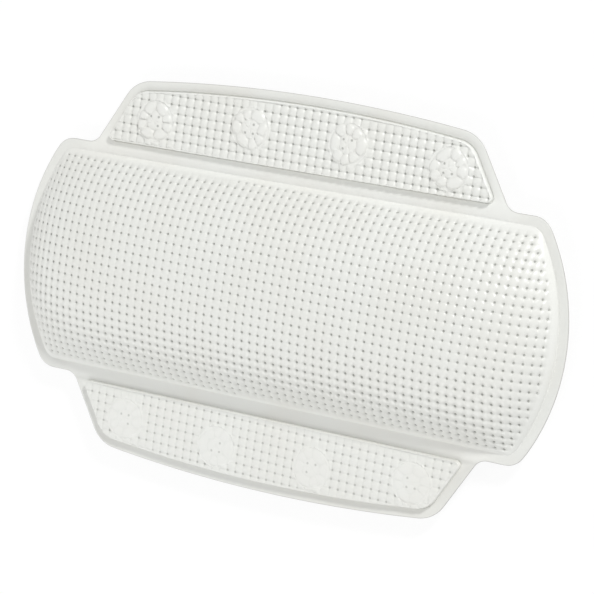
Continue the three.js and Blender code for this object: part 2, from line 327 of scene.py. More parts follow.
def woven(a, b):
    """Relief of the cells, 0 in the grooves and 1 on top, where pinholes lie at whole a and b."""
    ways = np.sin(np.pi * a) * np.sin(np.pi * b)
    over_a = np.where(ways > 0, LONG_SIDE, SHORT_SIDE)
    over_b = np.where(ways > 0, SHORT_SIDE, LONG_SIDE)
    return np.abs(np.sin(np.pi * a)) ** over_a * np.abs(np.sin(np.pi * b)) ** over_b


def pricked(a, b):
    """Depth of the pinholes, 1 at their centres."""
    return 1 - smooth_step(0, HOLE_REACH, np.hypot(a - np.round(a), b - np.round(b)))


def slanted(a, b, origin, slant, way=1):
    """The place of a weave cell on a flat sheet, whose cell (0, 0) lies at the origin.

    Way is -1 for a sheet that is turned half a turn later.
    """
    cos, sin = math.cos(slant), math.sin(slant)
    return origin[0] + way * PITCH * (a * cos + b * sin), origin[1] + way * PITCH * (a * sin - b * cos)


print("cells have", len(COLUMN_STOPS) * len(ROW_STOPS), "faces each")

# %% [markdown]
# The material has to know where the weave lies, and a pattern on Object coordinates can't follow a
# crowned sheet. So each vertex carries a few attributes: its place in the weave, how much relief it
# has, how strongly its pinhole is painted with shade, and how much painted shade or plain grey its
# vinyl takes in grooves, on edges and on the border. One more, the order, is only for building. It
# numbers the vertices of an outline, so that an extruded copy knows which point it is, and it is
# dropped before the mesh is made.

# %% What each vertex carries
MERGE = 0.05


class Layers:
    """What each vertex of a sheet says to its material, and its number in an outline."""

    def __init__(self, bm):
        self.cell = bm.verts.layers.float_vector.new("cell")
        # The relief value also sets how much the weave is painted with shade.
        self.relief = bm.verts.layers.float.new("relief")
        # The pinhole value sets how strongly a pinhole is painted with shade.
        self.pinhole = bm.verts.layers.float.new("pinhole")
        # The next value holds painted shade in grooves and creases and on the outer edge, and the plain grey
        # of the border.
        self.shade_and_tone = bm.verts.layers.float.new("shade_and_tone")
        self.order = bm.verts.layers.int.new("order")


print("points closer than", MERGE, "mm count as one")

# %% [markdown]
# A woven patch starts as a flat grid. Its vertices move to their places in the weave, the faces
# that cross the rim are split along it, and those outside it go, which leaves a clean curve. A
# boolean isn't used, because it wants closed solids and this is an open sheet.

# %% A patch of weave, cut along a curve
SNAP = 0.16


def grid_lines(span, stops):
    """Places of the grid's lines from one whole cell to another."""
    return np.array([cell + stop for cell in range(*span) for stop in stops] + [span[1]])


def cut_along(bm, verts, depth_at):
    """Splits the faces along the curve of depth 0 and deletes those outside it."""
    depths = {}

    def settle(v, near):
        depth, inward = depth_at(*v.co.xy)
        if abs(depth) < near:
            v.co.x -= depth * inward[0]
            v.co.y -= depth * inward[1]
            depth = 0
        depths[v] = depth

    for v in verts:
        settle(v, SNAP)
    edges = {e for v in verts for e in v.link_edges}
    for edge in [e for e in edges if depths[e.verts[0]] * depths[e.verts[1]] < 0]:
        first, second = (depths[v] for v in edge.verts)
        settle(bmesh.utils.edge_split(edge, edge.verts[0], first / (first - second))[1], SNAP)
    for face in {f for v in verts for f in v.link_faces}:
        sides = [depths[v] for v in face.verts]
        on_curve = [v for v in face.verts if depths[v] == 0]
        if min(sides) < 0 < max(sides) and len(on_curve) == 2:
            bmesh.utils.face_split(face, *on_curve)
    faces = {f for v in depths for f in v.link_faces}
    outside = [f for f in faces if depth_at(*f.calc_center_median().xy)[0] < 0]
    bmesh.ops.delete(bm, geom=outside, context="FACES")
    kept = [v for v in depths if v.is_valid]
    bmesh.ops.remove_doubles(bm, verts=[v for v in kept if v.is_boundary], dist=MERGE)
    return [v for v in kept if v.is_valid]


def patch(bm, layers, spans, stops, place, depth_at):
    """A grid in the weave's cells, placed on the pillow and cut along its rim."""
    columns, rows = grid_lines(spans[0], stops[0]), grid_lines(spans[1], stops[1])
    made = bmesh.ops.create_grid(bm, x_segments=len(columns) - 1, y_segments=len(rows) - 1, size=1)
    verts = made["verts"]
    unit = np.array([v.co[:2] for v in verts])
    a = columns[np.rint((unit[:, 0] + 1) / 2 * (len(columns) - 1)).astype(int)]
    b = rows[np.rint((unit[:, 1] + 1) / 2 * (len(rows) - 1)).astype(int)]
    for v, x, y, cell_a, cell_b in zip(verts, *place(a, b), a, b):
        v.co = (x, y, 0)
        v[layers.cell] = (cell_a, cell_b, 0)
    return cut_along(bm, verts, depth_at)


print("vertices within", SNAP, "mm of the curve move onto it")

# %% [markdown]
# Embossing lifts the cut patch onto its surface and presses the weave into it, along the surface's
# normal. The pinholes fade out before the rim, because the weld has flattened the sheet there. The
# relief does so too on the cushion, but on a flap it runs over the edge of the field.

# %% Embossing a patch
HOLE_CLEARANCE, FADE_WIDTH = 0.5, 1.0
# Pinholes at least this deep get their full painted shade.
FULL_SHADE_DEPTH = 0.75


def hole_flags(a, b, place, depth_at):
    """1 where the nearest pinhole is far enough inside the patch to have been pricked."""
    corners, which = np.unique(np.stack([np.rint(a), np.rint(b)], 1), axis=0, return_inverse=True)
    xs, ys = place(corners[:, 0], corners[:, 1])
    clear = np.array([depth_at(x, y)[0] > HOLE_CLEARANCE for x, y in zip(xs, ys)])
    return clear[which.ravel()].astype(float)


def emboss(verts, layers, place, depth_at, surface, relief_height=0, hole_depth=0, relief_depth=None):
    """Lifts a cut patch onto its surface, and presses the weave and the pinholes into it.

    The relief fades out towards the cut, or where relief_depth says so.
    """
    x, y = np.array([v.co[:2] for v in verts]).T
    a, b = np.array([v[layers.cell][:2] for v in verts]).T
    depth = np.array([depth_at(px, py)[0] for px, py in zip(x, y)])
    fade = smooth_step(0, FADE_WIDTH, depth)
    worn = smooth_step(0, FADE_WIDTH, relief_depth(x, y)) if relief_depth else fade
    flag = hole_flags(a, b, place, depth_at) if hole_depth else np.zeros(len(x))
    press = -worn * relief_height * (1 - woven(a, b)) - fade * flag * hole_depth * pricked(a, b)
    z = surface(x, y, depth)
    slope_x = (surface(x + MERGE, y, depth) - surface(x - MERGE, y, depth)) / (2 * MERGE)
    slope_y = (surface(x, y + MERGE, depth) - surface(x, y - MERGE, depth)) / (2 * MERGE)
    push = press / np.sqrt(1 + slope_x ** 2 + slope_y ** 2)
    lifted = np.stack([x - push * slope_x, y - push * slope_y, z + push], 1)
    # Each vertex's pinhole value is how strongly its pinhole is painted with shade: less on a sheet with
    # shallow holes, and fading near the rim.
    for v, co, shown, pricks in zip(verts, lifted, worn, flag * fade * min(hole_depth / FULL_SHADE_DEPTH, 1)):
        v.co = co
        v[layers.relief] = shown if relief_height else 0
        v[layers.pinhole] = pricks


print("pinholes start", HOLE_CLEARANCE, "mm inside the rim")

# %% [markdown]
# Two helpers carry a border on by extruding it, ring after ring. A skirt runs from a cut patch
# down to the flat weld, and finds its places with the rim. A wall starts from an outline of its own
# and passes through more outlines with as many points, such as the rounded edge of a sheet.

# %% Skirts and walls
RELIEF_DECAY = 0.6


def open_edges(verts):
    return list({e for v in verts for e in v.link_edges if e.is_boundary})


def extruded(bm, edges):
    """The outer edges and the vertices that extruding a border has made."""
    made = bmesh.ops.extrude_edge_only(bm, edges=edges)["geom"]
    outer = [e for e in made if isinstance(e, bmesh.types.BMEdge) and e.is_boundary]
    return outer, [v for v in made if isinstance(v, bmesh.types.BMVert)]


def skirt(bm, layers, edges, rim, rings, level=None):
    """Carries the border of a patch outwards through rings of (depth inside the rim, height, painted
    shade).

    Where the relief runs up to the border, level is the border's height without it, and the relief
    dies away over the rings as far as the first one with painted shade.
    """
    for depth, height, shade_and_tone in rings:
        edges, verts = extruded(bm, edges)
        if shade_and_tone:
            level = None
        for v in verts:
            dip = 0 if level is None else (level - v.co.z) * RELIEF_DECAY
            _, foot, inward = rim.nearest(*v.co.xy)
            x, y = foot[0] + (depth + dip) * inward[0], foot[1] + (depth + dip) * inward[1]
            v.co = (x, y, height(x, y, depth) if callable(height) else height - dip)
            v[layers.relief] = 0 if level is None else MERGE
            # Rings outside the weave get no pinhole shade, and take the ring's own painted shade.
            v[layers.pinhole], v[layers.shade_and_tone] = 0, shade_and_tone
        level = None if level is None else height
    return edges


def wall(bm, levels, painted_shades=None):
    """A band of faces through outlines of as many points, each with its height.

    Each outline after the first may have an amount of painted shade. Returns the edges of the first
    and of the last.
    """
    order, shade_and_tone = bm.verts.layers.int["order"], bm.verts.layers.float["shade_and_tone"]
    (points, z), *others = levels
    verts = [bm.verts.new((*point, z)) for point in points]
    for number, v in enumerate(verts):
        v[order] = number
    first = edges = [bm.edges.new((verts[number - 1], v)) for number, v in enumerate(verts)]
    for (points, z), pressed in zip(others, painted_shades or [0] * len(others)):
        edges, verts = extruded(bm, edges)
        for v in verts:
            v.co = (*points[v[order]], z)
            # Each outline takes its painted shade.
            v[shade_and_tone] = pressed
    return first, edges


def straight_wall(bm, points, start, end):
    return wall(bm, [(points, start), (points, end)])


def bridge(bm, first, second):
    bmesh.ops.bridge_loops(bm, edges=first + second)


def fill(bm, edges, side):
    bmesh.ops.triangle_fill(bm, use_beauty=True, edges=edges, normal=(0, 0, side))


print("over the edge of a field, each ring keeps", RELIEF_DECAY, "of the relief")

# %% [markdown]
# The welded outline is one line round the whole pillow, but the sheets are three: the cushion's,
# with its ears, and one for each flap. They meet along seams, straight cuts that stay where they
# are when the outline is drawn in for its rounded edge.

# %% The outlines of the sheets
SEAM_X, SEAM_Y = 127.0, 61.0


def drawn_in(points, amount):
    """An outline drawn in by an amount, except that the points of a seam stay on it."""
    moved = []
    for i, point in enumerate(points):
        along = (points[(i + 1) % len(points)] - points[i - 1]).normalized()
        inward = Vector((-along.y, along.x))
        on_seam = [abs(abs(point[axis]) - seam) < MERGE for axis, seam in enumerate((SEAM_X, SEAM_Y))]
        if any(on_seam):
            notch_end = not on_seam[1] and abs(point.y) > SEAM_Y
            inward = Vector((0, -math.copysign(1, point.y))) if notch_end else Vector((0, 0))
        moved.append(point + inward * amount)
    return moved


def kept_beyond(points, axis, level):
    """The part of a closed outline at or above a level of x or y, from its first crossing."""
    inside = [p[axis] >= level for p in points]
    kept = []
    for i, point in enumerate(points):
        before = points[i - 1]
        if inside[i] != inside[i - 1]:
            kept.append(before.lerp(point, (level - before[axis]) / (point[axis] - before[axis])))
            if inside[i]:
                first = len(kept) - 1
        if inside[i]:
            kept.append(point)
    return kept[first:] + kept[:first]


def half_turned(points):
    return [-p for p in points]


def cushion_sheet():
    """The outline of a cushion sheet: both ends with their ears, and the seams between."""
    end = kept_beyond(sheet_outline(), 0, SEAM_X)
    corners = [Vector((SEAM_X, SEAM_Y)), Vector((-SEAM_X, SEAM_Y))]
    return end + corners + half_turned(end) + half_turned(corners)


def flap_sheet():
    """The outline of the upper flap's sheet, down to its seam."""
    middle = [Vector((min(max(p.x, -SEAM_X), SEAM_X), p.y)) for p in sheet_outline() if abs(p.x) <= SEAM_X]
    upper = [p for p in middle if p.y > 0]
    end = kept_beyond(sheet_outline(), 0, SEAM_X)[-1]
    root = [Vector((-SEAM_X, SEAM_Y)), Vector((SEAM_X, SEAM_Y))]
    return [*root, end, *upper, Vector((-end.x, end.y))]


print("sheet outlines have", len(cushion_sheet()), "and", len(flap_sheet()), "points")

# %% [markdown]
# The flat weld is an outer face and an inner face half a millimetre apart, round whatever rises
# from them, with a wall whose outer edge is rounded. So each sheet is a closed skin, as thick as
# the real vinyl. The wall's last outlines are painted with shade, which stands in for the shade and
# dark reflection along the rounded edge and gives the pillow its thin dark edge. The border is a
# touch greyer than the padded fields towards its outer edges, as on the photographed pillow.

# %% The flat weld
EDGE_ROLL, EDGE_DROP, ROLL_STEPS = 1.1, 0.42, 5
# Painted shade on the outlines of the rounded edge, darkest on its outer edge.
EDGE_SHADES = (0, 0, 0.15, 0.5, 0.9, 1, 1)
HOLD = 0.3
BORDER_TONE, TONE_STARTS, TONE_FADE = 0.14, (127.0, 68.0), 8.0


def quarter_round(steps):
    """Steps down a quarter round, each with its share of the radius inwards and downwards."""
    turns = [math.pi / 2 * k / steps for k in range(steps + 1)]
    return [(1 - math.sin(t), 1 - math.cos(t)) for t in turns]


def flat_sheet(bm, outline, outer_z, inner_z, outer_holes, inner_holes):
    """The welded flat: two faces round their holes, and a wall whose outer edge is rounded."""
    side = math.copysign(1, outer_z - inner_z)
    levels = [(drawn_in(outline, EDGE_ROLL + HOLD), outer_z)]
    for inward, down in quarter_round(ROLL_STEPS):
        levels.append((drawn_in(outline, EDGE_ROLL * inward), outer_z - side * EDGE_DROP * down))
    outer, inner = wall(bm, [*levels, (outline, inner_z)], EDGE_SHADES)
    fill(bm, outer + outer_holes, side)
    fill(bm, inner + inner_holes, -side)


def shade_border(bm, layers, level):
    """The thin border outside the channels looks a little greyer than the padded fields."""
    for v in bm.verts:
        out = max(abs(place) - start for place, start in zip(v.co, TONE_STARTS)) / TONE_FADE
        if v.co.z < level + MERGE and v[layers.relief] == 0:
            v[layers.shade_and_tone] = max(v[layers.shade_and_tone], BORDER_TONE * min(max(out, 0), 1))


print("the rounded edge has", ROLL_STEPS, "steps")

# %% [markdown]
# The last helper closes a piece. It turns the faces outwards, which works because each piece is one
# closed shell, keeps the hard edges hard, puts the mesh in metres and counts what it made.

# %% Finished pieces
SHARP_DEGREES = 34


def placed(name, data):
    """An object with this data, in the scene."""
    made = bpy.data.objects.new(name, data)
    bpy.context.scene.collection.objects.link(made)
    return made


def finished(name, bm, material):
    """A mesh object in metres, smooth but for its sharp edges, with its faces pointing outwards."""
    bmesh.ops.recalc_face_normals(bm, faces=bm.faces)
    relief = bm.verts.layers.float.get("relief")
    for face in bm.faces:
        face.smooth = True
    for edge in bm.edges:
        embossed = relief is not None and min(v[relief] for v in edge.verts) > 0
        if not embossed and edge.calc_face_angle(0) > math.radians(SHARP_DEGREES):
            edge.smooth = False
    bmesh.ops.scale(bm, vec=(MM, MM, MM), verts=bm.verts)
    gaps = sum(not e.is_manifold for e in bm.edges)
    order = bm.verts.layers.int.get("order")
    if order:
        bm.verts.layers.int.remove(order)
    mesh = bpy.data.meshes.new(name)
    bm.to_mesh(mesh)
    bm.free()
    mesh.materials.append(material)
    mesh.calc_loop_triangles()
    print(name, len(mesh.loop_triangles), "triangles,", gaps, "edges that aren't closed")
    return placed(name, mesh)


print("edges sharper than", SHARP_DEGREES, "degrees stay hard")

# %% [markdown]
# The finishes follow. Shader maths is easier to read as Python, so one small class wraps a socket
# and turns operators into Math nodes, and one method makes any other node. The front sheets and
# the back sheets are the same soft vinyl. What differs is the emboss, and how much it shines.

# %% Shader maths in Python
class Wire:
    """A node's output. Its operators add Math nodes, and its node method adds any other node."""

    def __init__(self, tree, socket=None):
        self.tree, self.socket = tree, socket

    def node(self, kind, settings=None, values=None, output=0):
        made = self.tree.nodes.new("ShaderNode" + kind)
        for key, value in (settings or {}).items():
            setattr(made, key, value)
        for key, value in (values or {}).items():
            if isinstance(value, Wire):
                self.tree.links.new(value.socket, made.inputs[key])
            else:
                made.inputs[key].default_value = value
        return Wire(self.tree, made.outputs[output])

    def maths(self, operation, *values):
        return self.node("Math", {"operation": operation}, dict(enumerate(values)))

    def __add__(self, other):
        return self.maths("ADD", self, other)

    def __sub__(self, other):
        return self.maths("SUBTRACT", self, other)

    def __rsub__(self, other):
        return self.maths("SUBTRACT", other, self)

    def __mul__(self, other):
        return self.maths("MULTIPLY", self, other)

    def __pow__(self, other):
        return self.maths("POWER", self, other)

    __radd__, __rmul__ = __add__, __mul__

    def wrapped(self):
        """The distance to the nearest whole number."""
        return self.maths("PINGPONG", self, 0.5)

    def ramp(self, low, high):
        """0 below low and 1 above high, with a soft step between."""
        return self.node("MapRange", {"interpolation_type": "SMOOTHSTEP"}, {0: self, 1: low, 2: high})

    def mixed(self, first, second):
        """Between two colours, by this factor."""
        factor, colour_a, colour_b, mixed_colour = 0, 6, 7, 2
        values = {factor: self, colour_a: first, colour_b: second}
        return self.node("Mix", {"data_type": "RGBA"}, values, output=mixed_colour)

    def texture(self, kind, values):
        """A texture on the Object coordinates, so its scale counts per metre."""
        object_place = 3
        place = self.node("TexCoord", output=object_place)
        return self.node("Tex" + kind, {}, {"Vector": place, **values})


def finish(name, constants):
    """A material with its Principled shader's constant sockets set, and a wire to build on."""
    material = bpy.data.materials.new(name)
    material.use_nodes = True
    shader = material.node_tree.nodes["Principled BSDF"]
    for socket, value in constants.items():
        shader.inputs[socket].default_value = value
    return material, shader, Wire(material.node_tree)


def connect(shader, wires):
    for socket, wire in wires.items():
        wire.tree.links.new(wire.socket, shader.inputs[socket])


def linear(red, green, blue):
    """A colour written in the eight-bit values of a screen, as Blender's sockets want it."""
    def channel(value):
        share = value / 255
        return share / 12.92 if share <= 0.04045 else ((share + 0.055) / 1.055) ** 2.4
    return (channel(red), channel(green), channel(blue), 1)


print("screen grey 128 is", round(linear(128, 128, 128)[0], 3), "to a socket")

# %% [markdown]
# The embossed vinyl is an off-white with a trace of green. Painted shade darkens its pinholes, its
# grooves and, a little, the whole woven area, standing in for the shade of its own relief. Its
# grooves are also a little dull, and the tops of its cells are polished. Painted shade also lies
# along the rounded outer edge, in the pressed grooves round the fields, at the root of the lower
# field and between the petals of the medallions, and the border and the medallions are a touch
# greyer; all of these mix towards one grey. Under the weave lies a fine leather grain, far too small
# for geometry, which a bump gives. A grain has a scale and a strength, and the patches of warmer
# white have a scale and the two levels of noise between which they come in.

# %% Embossed and smooth vinyl
VINYL = linear(238, 239, 235)
VINYL_WARM = linear(236, 236, 231)
# Painted shade: the pinholes, the woven area and its grooves are mixed towards these greys.
PINHOLE_SHADE = linear(174, 175, 170)
WEAVE_SHADE_GREY = linear(222, 223, 218)
# One grey for painted shade on edges, in grooves and creases, and for the plain grey of the border.
SHADE_AND_TONE_GREY = linear(160, 160, 154)
HOLE_EDGE, HOLE_CORE, GROOVE_EDGE = 0.2, 0.07, 0.12
# How strongly the weave, its grooves, and the edges and creases are painted with shade.
WEAVE_SHADE, GROOVE_SHADE, SHADE_AND_TONE_MIX = 0.35, 0.2, 0.8
GRAIN_SCALE, GRAIN_DEPTH = 1100, 0.12 * MM
WOVEN_GRAIN, SMOOTH_GRAIN = (GRAIN_SCALE, 0.35), (GRAIN_SCALE / 2, 0.4)
WOVEN_PATCHES, SMOOTH_PATCHES = (24, 0.35, 0.7), (18, 0.3, 0.75)
POLISHED, DULL_GRAIN, DULL_GROOVE, DULL_HOLE = 0.28, 0.12, 0.1, 0.2
SATIN, DULL_SATIN = 0.36, 0.16
AS_VECTOR, AS_NUMBER = 1, 2


def grain(wire, scale, strength):
    """A leather grain as a bump, and its noise."""
    noise = wire.texture("Noise", {"Scale": scale, "Detail": 3, "Roughness": 0.6})
    return wire.node("Bump", {}, {"Strength": strength, "Distance": GRAIN_DEPTH, "Height": noise}), noise


def patchy_white(wire, scale, low, high):
    """The white of the vinyl, a little warmer in soft patches."""
    patches = wire.texture("Noise", {"Scale": scale, "Detail": 2})
    return patches.ramp(low, high).mixed(VINYL, VINYL_WARM)


def attribute(wire, name, output=AS_NUMBER):
    return wire.node("Attribute", {"attribute_name": name}, output=output)


def embossed_vinyl():
    material, shader, wire = finish("embossed_vinyl", {"IOR": 1.5, "Specular IOR Level": 0.5})
    cell, relief = attribute(wire, "cell", AS_VECTOR), attribute(wire, "relief")
    a, b = (wire.node("SeparateXYZ", {}, {0: cell}, output=k).wrapped() for k in (0, 1))
    away = (a * a + b * b) ** 0.5
    # Painted shade in the pinholes.
    hole = (1 - away.ramp(HOLE_CORE, HOLE_EDGE)) * attribute(wire, "pinhole")
    groove = (1 - a.maths("MINIMUM", a, b).ramp(0.0, GROOVE_EDGE)) * relief
    # Painted shade over the woven area, deepest in its grooves.
    colour = (relief * WEAVE_SHADE + groove * GROOVE_SHADE).mixed(patchy_white(wire, *WOVEN_PATCHES), WEAVE_SHADE_GREY)
    colour = hole.mixed(colour, PINHOLE_SHADE)
    # Painted shade in grooves and creases and on the outer edge, and the border's plain grey.
    colour = (attribute(wire, "shade_and_tone") * SHADE_AND_TONE_MIX).mixed(colour, SHADE_AND_TONE_GREY)
    bump, noise = grain(wire, *WOVEN_GRAIN)
    dull = noise * DULL_GRAIN + groove * DULL_GROOVE + hole * DULL_HOLE
    connect(shader, {"Base Color": colour, "Roughness": POLISHED + dull, "Normal": bump})
    return material


def smooth_vinyl():
    material, shader, wire = finish("smooth_vinyl", {"IOR": 1.5, "Specular IOR Level": 0.45})
    white = patchy_white(wire, *SMOOTH_PATCHES)
    # Painted shade along the rounded outer edge.
    colour = (attribute(wire, "shade_and_tone") * SHADE_AND_TONE_MIX).mixed(white, SHADE_AND_TONE_GREY)
    bump, noise = grain(wire, *SMOOTH_GRAIN)
    roughness = SATIN + noise * DULL_SATIN
    connect(shader, {"Base Color": colour, "Roughness": roughness, "Normal": bump})
    return material


print("the grain of the vinyl is about", round(1 / GRAIN_SCALE / MM, 1), "mm wide")

# %% [markdown]
# The suction cups are moulded from clearer, softer vinyl, milky where it is thick. Light goes into
# them, so they get some transmission. The foam is hidden in the finished pillow, but it has its
# open-celled finish all the same, because a piece should look right when it is taken out.

# %% Cup vinyl and foam
CUP = linear(226, 232, 230)
CLOUD_SCALE, CUP_SHINE, CUP_HAZE = 160, 0.14, 0.14
FOAM_LIGHT, FOAM_DARK = linear(244, 238, 214), linear(214, 204, 172)
FOAM_SCALE, FOAM_DEPTH, FOAM_ROUGH = 900, 0.5 * MM, 0.86


def cup_vinyl():
    settings = {"IOR": 1.5, "Transmission Weight": 0.15, "Specular IOR Level": 0.5}
    material, shader, wire = finish("cup_vinyl", settings)
    clouds = wire.texture("Noise", {"Scale": CLOUD_SCALE, "Detail": 2})
    colour = clouds.ramp(0.3, 0.8).mixed(CUP, VINYL)
    connect(shader, {"Base Color": colour, "Roughness": CUP_SHINE + clouds * CUP_HAZE})
    return material


def foam():
    material, shader, wire = finish("foam", {"Specular IOR Level": 0.2})
    cells = wire.texture("Voronoi", {"Scale": FOAM_SCALE})
    bump = wire.node("Bump", {}, {"Strength": 0.8, "Distance": FOAM_DEPTH, "Height": cells})
    colour = cells.ramp(0.1, 0.6).mixed(FOAM_DARK, FOAM_LIGHT)
    connect(shader, {"Base Color": colour, "Roughness": FOAM_ROUGH + cells * 0.1, "Normal": bump})
    return material


EMBOSSED, SMOOTH, CUPS, FOAM = embossed_vinyl(), smooth_vinyl(), cup_vinyl(), foam()
print("finishes:", [m.name for m in (EMBOSSED, SMOOTH, CUPS, FOAM)])

# %% [markdown]
# Now the front of the cushion. A woven patch covers the crown, a skirt carries it down to the
# weld, and a coarse copy a little lower is the inside of the sheet. Sculpting it by formula keeps
# the crown on the CAD dome, and puts the weave on it at its real size.

# %% The front of the cushion
WEAVE_SLANT = -0.0238
DOME_ORIGIN = (-22.29, 19.11)
DOME_SPANS = ((-31, 41), (-12, 20))
DOME_MARGIN = 1.6
DOME_RELIEF, DOME_HOLE = 0.18, 1.1
SKIRT_DEPTHS = (1.25, 0.95, 0.65, 0.4, 0.2, 0.07)
EDGE_ROUND, FOOT_FLARE = 0.14, 0.3
INNER_MARGIN, INNER_DROP, INNER_FOOT = 1.6, 1.8, 1.2
WOVEN_STOPS, COARSE_STOPS = (COLUMN_STOPS, ROW_STOPS), ((0, 0.5), (0, 0.5))


def dome_place(a, b):
    return unrolled(*slanted(a, b, DOME_ORIGIN, WEAVE_SLANT))


def inside(rim, margin):
    """Answers with the depth inside a curve at a margin from the rim, and the way inwards."""
    def depth_at(x, y):
        depth, _, inward = rim.nearest(x, y)
        return depth - margin, inward
    return depth_at


def formed(bm, layers, margin, stops, place, surface, *emboss_depths):
    """Makes a patch on a surface inside the cushion's rim and returns its open edges."""
    depth_at = inside(cushion_rim, margin)
    verts = patch(bm, layers, DOME_SPANS, stops, place, depth_at)
    emboss(verts, layers, place, depth_at, surface, *emboss_depths)
    return open_edges(verts)


def cushion_skirt(bm, layers, edges, depths, height, level, away):
    """Carries a border of the cushion to a level and flares it onto the flat there.

    Away is 1 on the front and -1 on the back.
    """
    rings = [(depth, height, 0) for depth in depths]
    rings += [(0, level + away * EDGE_ROUND, 0), (-FOOT_FLARE, level, 0), (-FOOT_FLARE - HOLD, level, 0)]
    return skirt(bm, layers, edges, cushion_rim, rings)


def close_sheet(bm, layers, foot, place, surface, level):
    """Adds the inside of a cushion sheet and the flat weld round it."""
    inner = formed(bm, layers, INNER_MARGIN, COARSE_STOPS, place, surface)
    inner_foot = skirt(bm, layers, inner, cushion_rim, [(INNER_FOOT, weld_z, 0)])
    flat_sheet(bm, cushion_sheet(), level, weld_z, foot, inner_foot)


def cushion_front():
    bm = bmesh.new()
    layers = Layers(bm)
    rise = lambda x, y, depth: front_z + crowned(x, y, depth + DOME_MARGIN)
    outer = formed(bm, layers, DOME_MARGIN, WOVEN_STOPS, dome_place, rise, DOME_RELIEF, DOME_HOLE)
    heights = lambda x, y, depth: front_z + float(crowned(x, y, depth))
    foot = cushion_skirt(bm, layers, outer, SKIRT_DEPTHS, heights, front_z, 1)
    lower = lambda x, y, depth: front_z - INNER_DROP + crowned(x, y, depth + INNER_MARGIN)
    close_sheet(bm, layers, foot, dome_place, lower, front_z)
    shade_border(bm, layers, front_z)
    return finished("cushion_cover", bm, EMBOSSED)


cushion_cover = cushion_front()

# %% [markdown]
# The back of the cushion is smooth vinyl drawn over the foam. It bellies out to a broad flat, which
# is what the pillow rests on, and it puckers a little where it runs into the weld. The share of the
# way from the spine to the rim gives its depth, as in the CAD.

# %% The back of the cushion
BACK_FLAT, BACK_POWER, BACK_ROUND = 0.62, 1.8, 0.9
BACK_MARGIN = 0.9
BACK_STOPS = ((0, 0.33, 0.67), (0, 0.33, 0.67))
BACK_SKIRT_DEPTHS = (0.5, 0.2)
PUCKER, PUCKER_REACH, PUCKER_PITCH = 0.35, 9.0, 11.0
PUCKER_WANDER, WANDER_PITCH = 2, 55.0
spine_half = skin_high.x - hinge_y - border / 2


def straight_place(a, b):
    return slanted(a, b, DOME_ORIGIN, 0)


def rim_reach(rim):
    """How far the rim is from the end of the spine, by angle, for the rim's right half."""
    offset = rim.points - np.array([spine_half, 0])
    right = offset[rim.points[:, 0] >= spine_half]
    order = np.argsort(np.arctan2(right[:, 1], right[:, 0]))
    return np.arctan2(right[:, 1], right[:, 0])[order], np.hypot(*right.T)[order]


reach_angles, reach_lengths = rim_reach(cushion_rim)


def outward_share(x, y):
    """0 on the spine and 1 on the rim."""
    past = np.abs(x) - spine_half
    reach = np.interp(np.arctan2(y, past), reach_angles, reach_lengths)
    return np.where(past > 0, np.hypot(past, y) / reach, np.abs(y) / (hinge_y - border))


def bellied(x, y):
    """Depth of the back below its weld."""
    outward = np.clip((outward_share(x, y) - BACK_FLAT) / (1 - BACK_FLAT), 0, 1)
    return back_z * (1 - outward ** BACK_POWER) ** BACK_ROUND


def puckered(x, y, depth):
    """Small folds that run in from the weld, where the back is steep."""
    along = np.arctan2(y, x) * hinge_y * 2 * np.pi
    wave = np.sin(along / PUCKER_PITCH + PUCKER_WANDER * np.sin(along / WANDER_PITCH))
    share = np.clip(bellied(x, y) / back_z, 0, 1)
    return PUCKER * wave * np.exp(-depth / PUCKER_REACH) * 4 * share * (1 - share)


def cushion_back():
    bm = bmesh.new()
    layers = Layers(bm)
    sink = lambda x, y, depth: back_z - bellied(x, y) + puckered(x, y, depth)
    outer = formed(bm, layers, BACK_MARGIN, BACK_STOPS, straight_place, sink)
    fall = lambda x, y, depth: back_z - float(bellied(x, y))
    foot = cushion_skirt(bm, layers, outer, BACK_SKIRT_DEPTHS, fall, back_z, -1)
    upper = lambda x, y, depth: np.minimum(back_z - bellied(x, y) + sheet, back_z)
    close_sheet(bm, layers, foot, straight_place, upper, back_z)
    return finished("cushion_back", bm, SMOOTH)


cushion_backing = cushion_back()

# %% [markdown]
# The foam core fills the space between the two skins. One coarse patch is its top and a copy of it
# is its underside, and bridging their borders closes it.

# %% The foam core
CORE_MARGIN, CORE_CLEARANCE = 2.4, 1.0


def cushion_core():
    bm = bmesh.new()
    layers = Layers(bm)
    depth_at = inside(cushion_rim, CORE_MARGIN)
    top = patch(bm, layers, DOME_SPANS, COARSE_STOPS, straight_place, depth_at)
    copied = bmesh.ops.duplicate(bm, geom=top + list({f for v in top for f in v.link_faces}))
    bottom = [v for v in copied["geom"] if isinstance(v, bmesh.types.BMVert)]
    above = lambda x, y, depth: front_z + crowned(x, y, depth + CORE_MARGIN) - INNER_DROP - CORE_CLEARANCE
    below = lambda x, y, depth: np.minimum(back_z - bellied(x, y) + sheet + CORE_CLEARANCE, weld_z)
    emboss(top, layers, straight_place, depth_at, above)
    emboss(bottom, layers, straight_place, depth_at, below)
    bridge(bm, open_edges(top), open_edges(bottom))
    return finished("cushion_foam", bm, FOAM)


cushion_foam = cushion_core()

# %% [markdown]
# A flower medallion covers the weld of each suction cup. It has a row of rounded petals round a
# button, and a pressed line round the outside. Three pinholes of the weave have stayed open on the
# button, and the heat of the weld has pulled each flower a little out of true. A formula in polar
# coordinates draws all eight, each with its own pull. They are almost flat on the lower flap.

# %% Flower medallions
FLOWER_REACH = 11.2
OUTER_ROW, INNER_ROW = (4.8, 10.6, 8), (0.8, 5.2, 5)
BUTTON_REACH, BUTTON_SHARE = 5.2, 0.7
PETAL_RISE, PETAL_POWER = {"upper": 1.2, "lower": 0.4}, 2.6
EYE_SHARE, EYE_DEPTH, EYE_WIDTH, EYE_REACH = 0.5, 0.45, 0.6, 1.5
